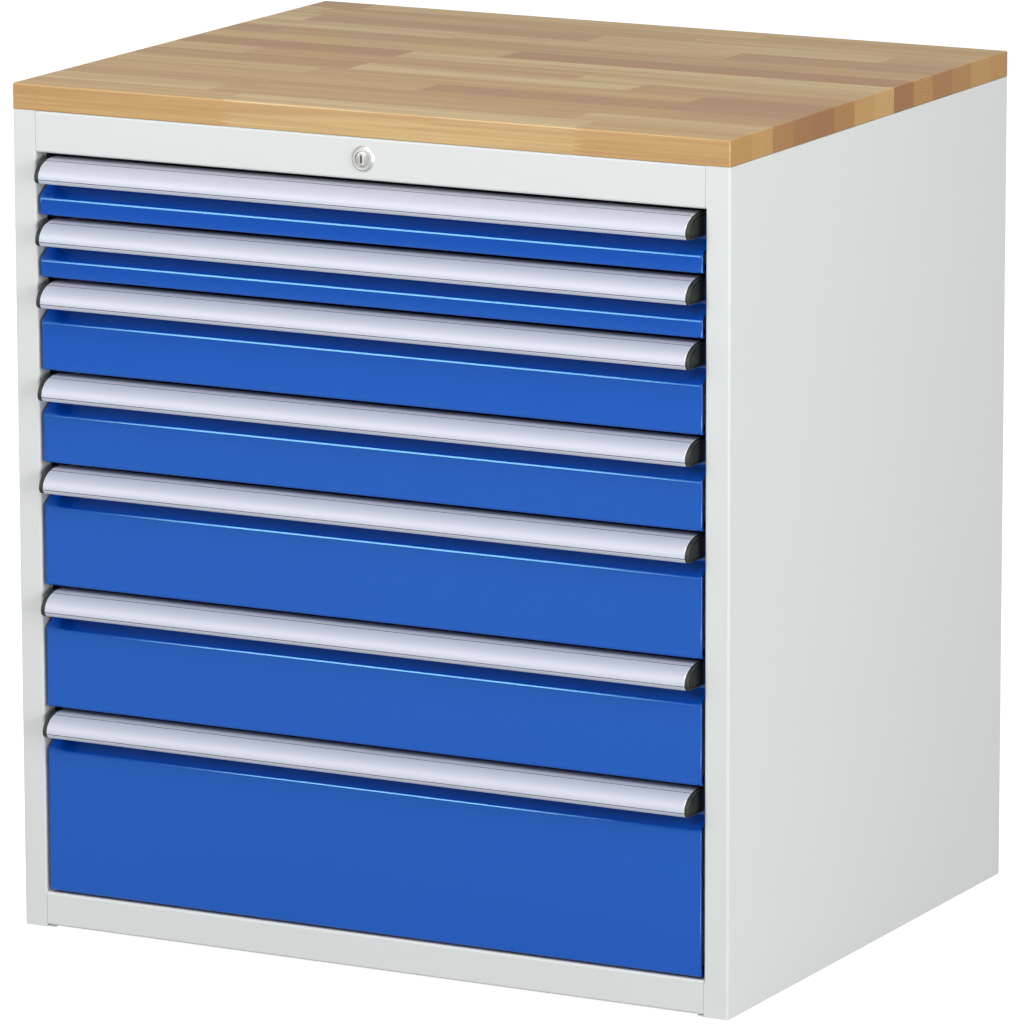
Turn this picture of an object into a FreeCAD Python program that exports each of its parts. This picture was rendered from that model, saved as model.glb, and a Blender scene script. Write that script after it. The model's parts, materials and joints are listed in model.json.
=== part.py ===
"""Drawer cabinet for a workshop: a folded steel housing under a beech worktop, with seven drawers on
full-extension slides, each with a bent sheet front and an extruded grip strip, and one central lock.

Millimetres, +Z up, +X to the right seen from the front. Every piece is drawn with y = 0 at the front face
of the housing and +Y towards the back, and is moved at the end, so that the origin is on the floor at the
middle of the footprint, grip strips included.
"""
import FreeCAD, Part
import math
import os
from FreeCAD import Vector

# Overall sizes
width = 760.0
depth = 610.0
housing_height = 800.0
worktop_thickness = 25.0
worktop_chamfer = 1.0

# Housing sheet
sheet = 1.5
bend = 1.0
stile_width = 25.0
stile_return = 20.0
rear_flange = 22.0
top_flange = 25.0
base_flange = 32.0
bottom_rail_top = 35.0
bottom_rail_lift = 2.0
top_rail_height = 40.0
rail_flange = 20.0
rail_tab = 15.0
rail_seam = 0.3
back_thickness = 1.2
floor_side_flange = 22.0
floor_hole_radius = 4.5
floor_hole_inset = 17.0
floor_hole_end = 60.0

# Drawers from the top down, by the steps of the front grid that each one takes up
front_grid = 30.0
front_steps = [2, 2, 3, 3, 4, 4, 6]
drawer_gap = 5.0
lowest_gap = 2.5
travel = 520.0

# Drawer fronts
front_sheet = 1.2
front_bend = 0.8
front_side_gap = 3.5
recess_depth = 16.0
ledge_drop = 27.5
face_drop = 38.0

# Grip strips
strip_wall = 1.8
strip_reach = 17.0
strip_flat = 7.0
strip_tip_drop = 17.0
strip_curl = 6.0
strip_curl_angle = 60.0
strip_leg = 20.0
strip_inset = 8.0
strip_groove = 0.5
strip_groove_angle = 28.0
lip_groove_angle = 13.0
cap_thickness = 2.5

# Trays
tray_sheet = 1.0
tray_edge = 1.5
tray_rim = 6.0
tray_gap_below = 4.0
tray_gap_above = 4.0
tray_back_gap = 35.0
catch_width = 60.0
catch_reach = 12.0
catch_depth = 14.0

# Telescopic slides
slide_space = 12.0
slide_sheet = 1.5
outer_height = 36.0
outer_depth = 10.0
ball_space = 3.6
ball_clearance = 0.3
web_clearance = 0.8
slide_rise = 22.0
slide_start = 24.0
slide_back_gap = 46.0
cage_width = 4.0
cage_end_gap = 15.0

# Slotted uprights
upright_sheet = 1.5
upright_crown = 30.0
upright_foot = 12.0
upright_front = 26.0
upright_back_gap = 36.0
hook_thickness = 2.0
hook_height = 12.0
hook_reach = 5.0
hook_clearance = 0.5

# Lock and locking gear
lock_ring_radius = 12.25
lock_ring_depth = 2.4
lock_body_radius = 9.0
lock_body_length = 28.0
lock_hole_clearance = 0.2
plug_radius = 7.0
plug_clearance = 0.05
plug_proud = 0.6
key_bar_width = 4.4
key_bar_height = 11.0
key_bar_proud = 0.8
keyway_width = 1.5
keyway_height = 7.5
keyway_depth = 8.0
nut_across_flats = 25.0
nut_thickness = 4.0
shaft_radius = 4.0
shaft_clearance = 0.1
crank_radius = 11.0
crank_thickness = 4.0
crank_pin_radius = 3.0
crank_pin_clearance = 0.5
crank_pin_proud = 2.0
crank_eye_wall = 2.0
crank_hub_wall = 3.0
bar_width = 24.0
bar_thickness = 3.0
bar_head = 7.5
bar_back_gap = 9.0
bar_clearance = 0.3
hook_arm = 6.0
hook_tooth = 4.0
hook_play = 6.0
hook_lift_gap = 1.0
hook_wall_gap = 3.0
guide_width = 40.0
guide_height = 20.0
guide_lip = 4.0
guide_gap = 5.0
bracket_width = 34.0
bracket_sheet = 2.0
bracket_foot = 18.0
bracket_drop = 10.0
bracket_back_gap = 45.0

# How far a cut runs past the metal
cut_past = 1.0

# Sizes that follow from those above
half_width = width / 2
side_inner = half_width - sheet
opening_half = half_width - stile_width
opening_bottom = bottom_rail_top
opening_top = housing_height - top_rail_height
housing_back = depth - sheet
back_front = housing_back - back_thickness
floor_top = bottom_rail_top - sheet
top_plate_top = housing_height - sheet
top_plate_bottom = top_plate_top - sheet
pitches = [front_grid * steps for steps in front_steps]
front_half = opening_half - front_side_gap
front_back = recess_depth + front_sheet
hood_start = recess_depth - strip_flat
front_outer_bend = front_bend + front_sheet
tray_half = opening_half - slide_space
tray_front = front_back
tray_back = depth - tray_back_gap
slide_length = depth - slide_start - slide_back_gap
cage_length = slide_length - travel / 2 - 2 * cage_end_gap
lock_z = opening_top + top_rail_height / 2
lock_turn = math.radians(45)
bar_stroke = 2 * crank_radius * math.sin(lock_turn)
bar_front = back_front - bar_back_gap - bar_thickness
bar_x = crank_radius * (1 + math.cos(lock_turn)) / 2
slot_rest_z = lock_z - crank_radius * math.sin(lock_turn)
upright_span = upright_crown + 2 * upright_foot
uprights_y = [upright_front, depth - upright_back_gap - upright_span]

# Mapping of a flat outline into space
def at_x(x):
    return lambda a, b: Vector(x, a, b)


def at_y(y):
    return lambda a, b: Vector(a, y, b)


def at_z(z):
    return lambda a, b: Vector(a, b, z)


def box(x0, x1, y0, y1, z0, z1):
    return Part.makeBox(x1 - x0, y1 - y0, z1 - z0, Vector(x0, y0, z0))


def rod(radius, start, direction, length):
    return Part.makeCylinder(radius, length, start, direction)


def merge(*shapes):
    whole = shapes[0].multiFuse(list(shapes[1:]))
    return whole.removeSplitter()


def mirrored(shape):
    return shape.mirror(Vector(0, 0, 0), Vector(1, 0, 0))


def both_sides(shape):
    return [shape, mirrored(shape)]


# Outline of a folded sheet. The points run along one face and the metal lies to the left of them.
# Each corner is a bend with the given inner radius, or sharp where that radius is 0.
def sheet_face(points, thickness, radius, place):
    near = []
    far = []
    legs = [((b[0] - a[0]), (b[1] - a[1])) for a, b in zip(points, points[1:])]
    dirs = [(dx / math.hypot(dx, dy), dy / math.hypot(dx, dy)) for dx, dy in legs]
    left = [(-dy, dx) for dx, dy in dirs]

    def offset(point, normal):
        return (point[0] + normal[0] * thickness, point[1] + normal[1] * thickness)

    near.append([points[0]])
    far.append([offset(points[0], left[0])])
    for corner, d0, d1, n0, n1 in zip(points[1:-1], dirs, dirs[1:], left, left[1:]):
        if radius == 0:
            share = 1 / (1 + n0[0] * n1[0] + n0[1] * n1[1])
            near.append([corner])
            far.append([offset(corner, ((n0[0] + n1[0]) * share, (n0[1] + n1[1]) * share))])
            continue
        side = 1 if d0[0] * d1[1] - d0[1] * d1[0] > 0 else -1
        near_radius = radius + thickness if side > 0 else radius
        far_radius = near_radius - side * thickness
        half_turn = math.acos(d0[0] * d1[0] + d0[1] * d1[1]) / 2
        setback = near_radius * math.tan(half_turn)
        start = (corner[0] - d0[0] * setback, corner[1] - d0[1] * setback)
        end = (corner[0] + d1[0] * setback, corner[1] + d1[1] * setback)
        centre = (start[0] + side * n0[0] * near_radius, start[1] + side * n0[1] * near_radius)
        reach = math.hypot(corner[0] - centre[0], corner[1] - centre[1])
        out = ((corner[0] - centre[0]) / reach, (corner[1] - centre[1]) / reach)
        middle = (centre[0] + out[0] * near_radius, centre[1] + out[1] * near_radius)
        far_middle = (centre[0] + out[0] * far_radius, centre[1] + out[1] * far_radius)
        near.append([start, middle, end])
        far.append([offset(start, n0), far_middle, offset(end, n1)])
    near.append([points[-1]])
    far.append([offset(points[-1], left[-1])])
    ring = near + [stop[::-1] for stop in far[::-1]]
    return outline_face(ring, place)


# Face inside a ring of stops: a stop of one point is a corner, and a stop of three points is an arc.
def outline_face(ring, place):
    edges = []
    for stop, following in zip(ring, ring[1:] + ring[:1]):
        if len(stop) == 3:
            edges.append(Part.Arc(*[place(*point) for point in stop]).toShape())
        start = place(*stop[-1])
        end = place(*following[0])
        if start.distanceToPoint(end) > 1e-6:
            edges.append(Part.LineSegment(start, end).toShape())
    return Part.Face(Part.Wire(edges))


# Side panel, right: a sheet with the stile and its return in front, a flange behind, above and below
def side_panel():
    edge = [(opening_half, 0), (half_width, 0), (half_width, depth), (half_width - rear_flange, depth)]
    returned = [(opening_half, stile_return)] + edge
    full = sheet_face(edge, sheet, bend, at_z(0)).extrude(Vector(0, 0, housing_height))
    opening = sheet_face(returned, sheet, bend, at_z(opening_bottom))
    opening = opening.extrude(Vector(0, 0, opening_top - opening_bottom))
    edge_end = opening_half + bend + 2 * sheet
    cut = box(opening_half - cut_past, edge_end, -cut_past, sheet + cut_past, opening_bottom, opening_top)
    base = box(half_width - base_flange, side_inner, sheet, housing_back, 0, sheet)
    head = box(half_width - top_flange, side_inner, sheet, housing_back, top_plate_top, housing_height)
    panel = merge(full.cut(cut), opening, base, head)
    for y in (floor_hole_end, depth - floor_hole_end):
        start = Vector(half_width - floor_hole_inset, y, -cut_past)
        panel = panel.cut(rod(floor_hole_radius, start, Vector(0, 0, 1), sheet + 2 * cut_past))
    return panel


# Rail between the stiles: a channel whose tabs lie behind the stiles
def cross_rail(bottom, top):
    half = opening_half - rail_seam
    path = [(rail_flange, top), (0, top), (0, bottom), (rail_flange, bottom)]
    channel = sheet_face(path, sheet, bend, at_x(-half)).extrude(Vector(2 * half, 0, 0))
    margin = 2 * sheet + bend
    tab = box(opening_half - rail_tab, opening_half + rail_tab, sheet, 2 * sheet, bottom + margin, top - margin)
    return merge(channel, *both_sides(tab))


def top_rail():
    start = Vector(0, -cut_past, lock_z)
    hole = rod(lock_body_radius + lock_hole_clearance, start, Vector(0, 1, 0), sheet + 2 * cut_past)
    return cross_rail(opening_top, housing_height).cut(hole)


def back_panel():
    half = side_inner - bend
    return box(-half, half, back_front, housing_back, sheet, top_plate_bottom)


def floor_plate():
    low = floor_top - floor_side_flange
    path = [(side_inner, low), (side_inner, floor_top), (-side_inner, floor_top), (-side_inner, low)]
    return sheet_face(path, sheet, 0, at_y(2 * sheet)).extrude(Vector(0, back_front - 2 * sheet, 0))


def top_plate():
    return box(-side_inner, side_inner, 2 * sheet, housing_back, top_plate_bottom, top_plate_top)


def worktop():
    board = box(-half_width, half_width, 0, depth, housing_height, housing_height + worktop_thickness)
    board = board.makeChamfer(worktop_chamfer, [edge for edge in board.Edges if edge.BoundBox.ZLength > worktop_chamfer])
    return board.makeChamfer(worktop_chamfer, board.Faces[top_face(board)].Edges)


def top_face(shape):
    heights = [face.CenterOfMass.z for face in shape.Faces]
    return heights.index(max(heights))


# Drawers: the sizes of each one, from the top down
def drawer_levels():
    levels = []
    top = opening_top - drawer_gap
    for number, pitch in enumerate(pitches, 1):
        bottom = top - pitch + drawer_gap
        if number == len(pitches):
            bottom = opening_bottom + lowest_gap
        levels.append({
            "number": number,
            "top": top,
            "bottom": bottom,
            "tray_top": top - tray_gap_above,
            "tray_bottom": bottom + tray_gap_below,
            "slide_z": bottom + tray_gap_below + slide_rise,
        })
        top -= pitch
    return levels


# Slotted uprights: hat sections on the side panels, with a slot for each rail's hook
def slot_y(upright_y):
    return upright_y + upright_foot + upright_crown / 2


def upright(start, levels):
    crown = opening_half + upright_sheet
    near = start + upright_foot
    far = near + upright_crown
    path = [
        (side_inner, start),
        (side_inner, near),
        (crown, near),
        (crown, far),
        (side_inner, far),
        (side_inner, start + upright_span),
    ]
    post = sheet_face(path, upright_sheet, 0, at_z(floor_top))
    post = post.extrude(Vector(0, 0, top_plate_bottom - floor_top))
    half_y = hook_thickness / 2 + hook_clearance
    half_z = hook_height / 2 + hook_clearance
    y = slot_y(start)
    for level in levels:
        z = level["slide_z"]
        slot = box(opening_half - cut_past, crown + cut_past, y - half_y, y + half_y, z - half_z, z + half_z)
        post = post.cut(slot)
    return post


def uprights(levels):
    posts = []
    for start in uprights_y:
        posts += both_sides(upright(start, levels))
    return posts


# Telescopic slide, right: each member is a channel nested in the next one
def outer_rail(z):
    half = outer_height / 2
    mouth = opening_half - outer_depth
    path = [(mouth, z - half), (opening_half, z - half), (opening_half, z + half), (mouth, z + half)]
    rail = sheet_face(path, slide_sheet, 0, at_y(slide_start)).extrude(Vector(0, slide_length, 0))
    hooks = []
    for start in uprights_y:
        y = slot_y(start)
        half_y = hook_thickness / 2
        half_z = hook_height / 2
        hooks.append(box(opening_half, opening_half + hook_reach, y - half_y, y + half_y, z - half_z, z + half_z))
    return merge(rail, *hooks)


middle_half = outer_height / 2 - slide_sheet - ball_space
inner_half = middle_half - slide_sheet - ball_space


def middle_rail(z):
    web = opening_half - slide_sheet - web_clearance
    mouth = opening_half - outer_depth
    path = [(mouth, z - middle_half), (web, z - middle_half), (web, z + middle_half), (mouth, z + middle_half)]
    return sheet_face(path, slide_sheet, 0, at_y(slide_start)).extrude(Vector(0, slide_length, 0))


def ball_cages(z):
    middle = (tray_half + opening_half) / 2 - slide_sheet / 2
    x0 = middle - cage_width / 2
    x1 = middle + cage_width / 2
    rear = slide_start + slide_length - cage_length
    deep = ball_space - ball_clearance
    cages = []
    for side in (-1, 1):
        outer = sorted((z + side * middle_half, z + side * (middle_half + deep)))
        seat = middle_half - slide_sheet
        inner = sorted((z + side * seat, z + side * (seat - deep)))
        cages.append(box(x0, x1, rear, rear + cage_length, *outer))
        cages.append(box(x0, x1, slide_start, slide_start + cage_length, *inner))
    return cages


def inner_rail(z):
    mouth = opening_half - slide_sheet - web_clearance - slide_sheet - web_clearance
    path = [(mouth, z + inner_half), (tray_half, z + inner_half), (tray_half, z - inner_half), (mouth, z - inner_half)]
    return sheet_face(path, slide_sheet, 0, at_y(slide_start)).extrude(Vector(0, slide_length, 0))


# Drawer front: a bent sheet with a sloping ledge up to the recessed wall that carries the grip strip.
# Its face turns back into a cheek at each side.
def drawer_front(level):
    top = level["top"] - strip_wall
    ledge = level["top"] - ledge_drop
    face = level["top"] - face_drop
    bottom = level["bottom"]
    half = front_half - front_outer_bend
    path = [(recess_depth, top), (recess_depth, ledge), (0, face), (0, bottom), (front_back, bottom)]
    body = sheet_face(path, front_sheet, front_bend, at_x(-half)).extrude(Vector(2 * half, 0, 0))
    low = bottom + front_outer_bend
    high = face - front_outer_bend
    block = box(-front_half, front_half, 0, front_back, low, high)
    corners = [edge for edge in block.Edges if edge.BoundBox.YMax < front_sheet and edge.BoundBox.XLength < front_sheet]
    block = block.makeFillet(front_outer_bend, corners)
    inner = front_half - front_sheet
    cheeks = block.cut(box(-inner, inner, front_sheet, front_back + cut_past, low - cut_past, high + cut_past))
    return merge(body, cheeks)


# Grip strip: an extruded hood that runs level at its top, then round to a lip, with a leg on the front.
# A hood of the given inset lies inside the outer one.
def hood_edges(level, inset, back, place):
    z = level["top"] - strip_tip_drop
    centre = place(hood_start, z)
    tip = place(inset - strip_reach, z)
    crest = place(hood_start, z + strip_tip_drop - inset)
    flat = Part.LineSegment(place(back, z + strip_tip_drop - inset), crest).toShape()
    quarter = Part.ArcOfEllipse(Part.Ellipse(tip, crest, centre), 0, math.pi / 2).toShape()
    points = [curl_point(level, inset, turn) for turn in (0, strip_curl_angle / 2, strip_curl_angle)]
    curl = Part.Arc(*[place(*point) for point in points]).toShape()
    return [flat, quarter, curl]


def curl_point(level, inset, turn):
    angle = math.radians(turn)
    radius = strip_curl - inset
    y = strip_curl - strip_reach - radius * math.cos(angle)
    z = level["top"] - strip_tip_drop - radius * math.sin(angle)
    return (y, z)


def joined(points, place):
    spots = [place(*point) for point in points]
    return [Part.LineSegment(a, b).toShape() for a, b in zip(spots, spots[1:])]


def strip_bottom(level):
    return curl_point(level, 0, strip_curl_angle)[1]


GROOVE_CORNERS = [(-1, 0), (0, -1), (1, 0), (0, 1), (-1, 0)]


def grip_strip(level):
    half = opening_half - strip_inset - cap_thickness
    place = at_x(-half)
    top = level["top"]
    leg = recess_depth - strip_wall
    edges = hood_edges(level, 0, recess_depth, place) + hood_edges(level, strip_wall, leg, place)
    lip = [curl_point(level, 0, strip_curl_angle), curl_point(level, strip_wall, strip_curl_angle)]
    back = [
        (leg, top - strip_wall),
        (leg, top - strip_leg),
        (recess_depth, top - strip_leg),
        (recess_depth, top - strip_wall),
        (front_back, top - strip_wall),
        (front_back, top),
        (recess_depth, top),
    ]
    edges += joined(lip, place) + joined(back, place)
    section = Part.Face(Part.Wire(Part.__sortEdges__(edges)))
    strip = section.extrude(Vector(2 * half, 0, 0))
    angle = math.radians(strip_groove_angle)
    high_y = hood_start - (hood_start + strip_reach) * math.sin(angle)
    high_z = top - strip_tip_drop * (1 - math.cos(angle))
    low_y, low_z = curl_point(level, 0, lip_groove_angle)
    for y, z in ((high_y, high_z), (low_y, low_z)):
        corners = [Vector(-half - cut_past, y + a * strip_groove, z + b * strip_groove) for a, b in GROOVE_CORNERS]
        groove = Part.Face(Part.makePolygon(corners)).extrude(Vector(2 * (half + cut_past), 0, 0))
        strip = strip.cut(groove)
    return strip


def strip_caps(level):
    place = at_x(opening_half - strip_inset - cap_thickness)
    low = strip_bottom(level)
    lip_y = curl_point(level, 0, strip_curl_angle)[0]
    edges = hood_edges(level, 0, recess_depth, place)
    edges += joined([(lip_y, low), (recess_depth, low), (recess_depth, level["top"])], place)
    cap = Part.Face(Part.Wire(Part.__sortEdges__(edges))).extrude(Vector(cap_thickness, 0, 0))
    return both_sides(cap)


# Tray: a folded box with a rim turned inwards and, behind, a welded catch that hangs over the locking hook
def tray(level):
    low = level["tray_bottom"]
    top = level["tray_top"]
    skin = tray_sheet
    body = box(-tray_half, tray_half, tray_front, tray_back, low, top)
    body = body.makeFillet(tray_edge, long_edges(body, low))
    inner = tray_half - skin
    cavity = box(-inner, inner, tray_front + skin, tray_back - skin, low + skin, top - skin)
    mouth = tray_half - skin - tray_rim
    start = tray_front + skin + tray_rim
    opening = box(-mouth, mouth, start, tray_back - skin - tray_rim, top - 2 * skin, top + cut_past)
    half = catch_width / 2
    lip = tray_back + catch_reach
    path = [(lip, top - catch_depth), (lip, top), (tray_back, top)]
    catch = sheet_face(path, skin, 0, at_x(bar_x - half)).extrude(Vector(2 * half, 0, 0))
    return [body.cut(cavity).cut(opening), catch]


def long_edges(shape, z):
    found = []
    for edge in shape.Edges:
        middle = edge.CenterOfMass
        spread = edge.BoundBox
        if abs(middle.z - z) < 1e-6 and spread.YLength > spread.XLength:
            found.append(edge)
    return found


# Lock in the top rail: a ring and body, a nut behind the rail and a plug that turns in the body
def lock_case():
    bore = plug_radius + plug_clearance
    profile = [
        (bore, -lock_ring_depth),
        (lock_ring_radius - lock_ring_depth, -lock_ring_depth),
        (lock_ring_radius, 0),
        (lock_body_radius, 0),
        (lock_body_radius, lock_body_length),
        (bore, lock_body_length),
    ]
    return turned(profile)


# Solid turned about the axis of the lock; each point is its radius and its place along the axis
def turned(profile):
    spots = [Vector(radius, y, lock_z) for radius, y in profile]
    section = Part.Face(Part.makePolygon(spots + spots[:1]))
    return section.revolve(Vector(0, 0, lock_z), Vector(0, 1, 0), 360)


def lock_nut():
    reach = nut_across_flats / math.sqrt(3)
    spots = []
    for turn in range(7):
        angle = math.radians(60 * turn)
        spots.append(Vector(reach * math.cos(angle), sheet, lock_z + reach * math.sin(angle)))
    nut = Part.Face(Part.makePolygon(spots)).extrude(Vector(0, nut_thickness, 0))
    hole = rod(lock_body_radius, Vector(0, 0, lock_z), Vector(0, 1, 0), sheet + nut_thickness + cut_past)
    return nut.cut(hole)


def lock_plug():
    front = -lock_ring_depth - plug_proud
    plug = rod(plug_radius, Vector(0, front, lock_z), Vector(0, 1, 0), lock_body_length - front)
    wide = key_bar_width / 2
    high = key_bar_height / 2
    grip = box(-wide, wide, front - key_bar_proud, front + key_bar_proud, lock_z - high, lock_z + high)
    thin = keyway_width / 2
    tall = keyway_height / 2
    mouth = front - key_bar_proud - cut_past
    keyway = box(-thin, thin, mouth, front + keyway_depth, lock_z - tall, lock_z + tall)
    return merge(plug, grip).cut(keyway)


# Shaft from the plug to the back, with a crank whose pin lifts the locking bar
def lock_shaft():
    crank_back = bar_front - 2 * bar_clearance
    crank_front = crank_back - crank_thickness
    axis = rod(shaft_radius, Vector(0, lock_body_length, lock_z), Vector(0, 1, 0), crank_back - lock_body_length)
    pin_x = crank_radius * math.cos(lock_turn)
    pin_z = slot_rest_z
    hub = rod(shaft_radius + crank_hub_wall, Vector(0, crank_front, lock_z), Vector(0, 1, 0), crank_thickness)
    eye_radius = crank_pin_radius + crank_eye_wall
    eye = rod(eye_radius, Vector(pin_x, crank_front, pin_z), Vector(0, 1, 0), crank_thickness)
    pin_length = crank_thickness + 2 * bar_clearance + bar_thickness + crank_pin_proud
    pin = rod(crank_pin_radius, Vector(pin_x, crank_front, pin_z), Vector(0, 1, 0), pin_length)
    return merge(axis, hub, eye, pin)


def shaft_bracket():
    y = depth - bracket_back_gap
    half = bracket_width / 2
    low = lock_z - shaft_radius - bracket_drop
    path = [(y, low), (y, top_plate_bottom), (y - bracket_foot, top_plate_bottom)]
    plate = sheet_face(path, bracket_sheet, 0, at_x(-half)).extrude(Vector(2 * half, 0, 0))
    hole = rod(shaft_radius + shaft_clearance, Vector(0, y - bracket_foot, lock_z), Vector(0, 1, 0), 2 * bracket_foot)
    return plate.cut(hole)


# Locking bar: a flat bar with a cross slot for the crank's pin and one hook welded on for each drawer
def hook_tip(level):
    return level["tray_top"] - catch_depth - hook_play


def hook_root(level):
    return hook_tip(level) - bar_stroke + hook_play - hook_lift_gap - hook_arm


# Top and bottom of the guide under a drawer's hook; the bar's foot never leaves the lowest one
def guide_top(level):
    return hook_root(level) - guide_gap


def guide_bottom(level):
    return guide_top(level) - guide_height


def locking_bar(levels):
    half = bar_width / 2
    left = bar_x - half
    right = bar_x + half
    back = bar_front + bar_thickness
    slot_half = crank_pin_radius + crank_pin_clearance
    travel_half = crank_radius * (1 - math.cos(lock_turn)) / 2 + slot_half
    foot = guide_bottom(levels[-1]) - bar_stroke - guide_gap
    bar = box(left, right, bar_front, back, foot, slot_rest_z + bar_head)
    slot = box(
        bar_x - travel_half,
        bar_x + travel_half,
        bar_front - cut_past,
        back + cut_past,
        slot_rest_z - slot_half,
        slot_rest_z + slot_half,
    )
    pieces = [bar.cut(slot)]
    tooth = tray_back + hook_wall_gap
    for level in levels:
        root = hook_root(level)
        arm = box(left, right, tooth, bar_front, root, root + hook_arm)
        pieces.append(merge(arm, box(left, right, tooth, tooth + hook_tooth, root, hook_tip(level))))
    return pieces


# Guides on the back panel: plastic blocks that the bar slides through
def bar_guides(levels):
    half = guide_width / 2
    back = bar_front + bar_thickness + bar_clearance
    front = bar_front - bar_clearance
    slide_half = bar_width / 2 + bar_clearance
    guides = []
    for level in (levels[-1], levels[len(levels) // 2 - 1]):
        low = guide_bottom(level)
        high = guide_top(level)
        block = box(bar_x - half, bar_x + half, front - guide_lip, back_front, low, high)
        groove = box(bar_x - slide_half, bar_x + slide_half, front, back, low - cut_past, high + cut_past)
        guides.append(block.cut(groove))
    return guides


# Placing and saving
origin_shift = Vector(0, -(depth - strip_reach) / 2, 0)


def save(name, shapes):
    group = shapes if isinstance(shapes, list) else [shapes]
    solids = [solid for shape in group for solid in shape.Solids]
    for solid in solids:
        if not solid.isValid() or solid.Volume <= 0:
            raise ValueError("bad solid in " + name)
    whole = solids[0] if len(solids) == 1 else Part.makeCompound(solids)
    whole = whole.copy()
    whole.translate(origin_shift)
    whole.exportStep("parts/" + name + ".step")
    return len(solids)


def build():
    levels = drawer_levels()
    panel = side_panel()
    nodes = {
        "side_panel_right": panel,
        "side_panel_left": mirrored(panel),
        "back_panel": back_panel(),
        "floor_plate": floor_plate(),
        "top_plate": top_plate(),
        "top_rail": top_rail(),
        "bottom_rail": cross_rail(bottom_rail_lift, bottom_rail_top),
        "worktop": worktop(),
        "uprights": uprights(levels),
        "cabinet_rails": [rail for level in levels for rail in both_sides(outer_rail(level["slide_z"]))],
        "lock_case": lock_case(),
        "lock_nut": lock_nut(),
        "shaft_bracket": shaft_bracket(),
        "bar_guides": bar_guides(levels),
        "lock_plug": lock_plug(),
        "lock_shaft": lock_shaft(),
        "locking_bar": locking_bar(levels),
    }
    for level in levels:
        name = "drawer_" + str(level["number"])
        z = level["slide_z"]
        nodes[name + "_tray"] = tray(level)
        nodes[name + "_front"] = drawer_front(level)
        nodes[name + "_grip"] = grip_strip(level)
        nodes[name + "_grip_caps"] = strip_caps(level)
        nodes[name + "_rails"] = both_sides(inner_rail(z))
        middle = [middle_rail(z)] + ball_cages(z)
        nodes[name + "_slides"] = middle + [mirrored(piece) for piece in middle]
    os.makedirs("parts", exist_ok=True)
    for name, shapes in nodes.items():
        print(name, save(name, shapes))


build()
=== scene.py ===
"""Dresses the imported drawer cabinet: powder coated housing and fronts, extruded grip strips, beech worktop,
lock and a plain photo stage. Metres, +Z up, drawers open towards -Y."""
import json
import math

import bmesh
import bpy
from bpy.props import FloatProperty, FloatVectorProperty, PointerProperty
from mathutils import Matrix, Vector


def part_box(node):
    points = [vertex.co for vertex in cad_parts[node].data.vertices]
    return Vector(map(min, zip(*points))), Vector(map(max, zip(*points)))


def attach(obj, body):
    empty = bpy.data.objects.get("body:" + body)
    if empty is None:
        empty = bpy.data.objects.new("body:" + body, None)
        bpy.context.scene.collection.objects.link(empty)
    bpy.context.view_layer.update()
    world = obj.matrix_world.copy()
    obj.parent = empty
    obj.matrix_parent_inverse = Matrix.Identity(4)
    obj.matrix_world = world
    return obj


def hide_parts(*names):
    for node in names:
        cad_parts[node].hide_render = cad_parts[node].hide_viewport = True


bl_info = {
    "name": "Workshop drawer cabinet",
    "version": (1, 0, 0),
    "blender": (4, 5, 0),
    "location": "3D View > Sidebar > Cabinet",
    "description": "Finishes, fittings and stage for a steel drawer cabinet with a beech worktop",
    "category": "Object",
}

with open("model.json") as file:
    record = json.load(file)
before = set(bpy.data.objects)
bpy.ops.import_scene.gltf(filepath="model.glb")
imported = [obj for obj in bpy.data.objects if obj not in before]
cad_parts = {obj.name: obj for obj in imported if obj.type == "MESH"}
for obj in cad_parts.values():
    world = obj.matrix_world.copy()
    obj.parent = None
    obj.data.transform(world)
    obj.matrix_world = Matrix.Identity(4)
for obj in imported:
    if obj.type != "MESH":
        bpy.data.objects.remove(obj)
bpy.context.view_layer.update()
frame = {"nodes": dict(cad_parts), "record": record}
NODES = frame["nodes"]
DRAWERS = range(1, 8)
# Points nearer than this count as the same place
NEAR = 1e-6
# Vertices nearer than this are merged
MERGE = 1e-5
# Places in a strip's list of metals: the groove metal is darker as painted shade, the sawn metal brighter as
# a painted highlight
GROOVE_SHADE_METAL, SAWN_HIGHLIGHT_METAL = 1, 2
CAMERA_PLACE = (3.4617, -6.5550, 1.9578)
CAMERA_REACH = 60
FLOOR_SIZE = 14
FLOOR_GAP = 0.0005
# Each light shines on this point
LIT_MIDDLE = (0, -0.3, 0.45)


def linear(red, green, blue):
    """Turns a screen colour, 0 to 255, into the linear colour that Blender keeps."""
    shares = [value / 255 for value in (red, green, blue)]
    return tuple(s / 12.92 if s <= 0.04045 else ((s + 0.055) / 1.055) ** 2.4 for s in shares)


def colour_prop(name, text, colour):
    settings = {"subtype": "COLOR", "size": 3, "min": 0, "max": 1}
    return FloatVectorProperty(name=name, description=text, default=linear(*colour), **settings)


def length_prop(name, text, value):
    settings = {"unit": "LENGTH", "subtype": "DISTANCE", "precision": 4}
    return FloatProperty(name=name, description=text, default=value, **settings)


def power_prop(name, text, watts):
    return FloatProperty(name=name, description=text, unit="POWER", default=watts)


def angle_prop(name, text, degrees):
    settings = {"unit": "ROTATION", "subtype": "ANGLE"}
    return FloatProperty(name=name, description=text, default=math.radians(degrees), **settings)


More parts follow.
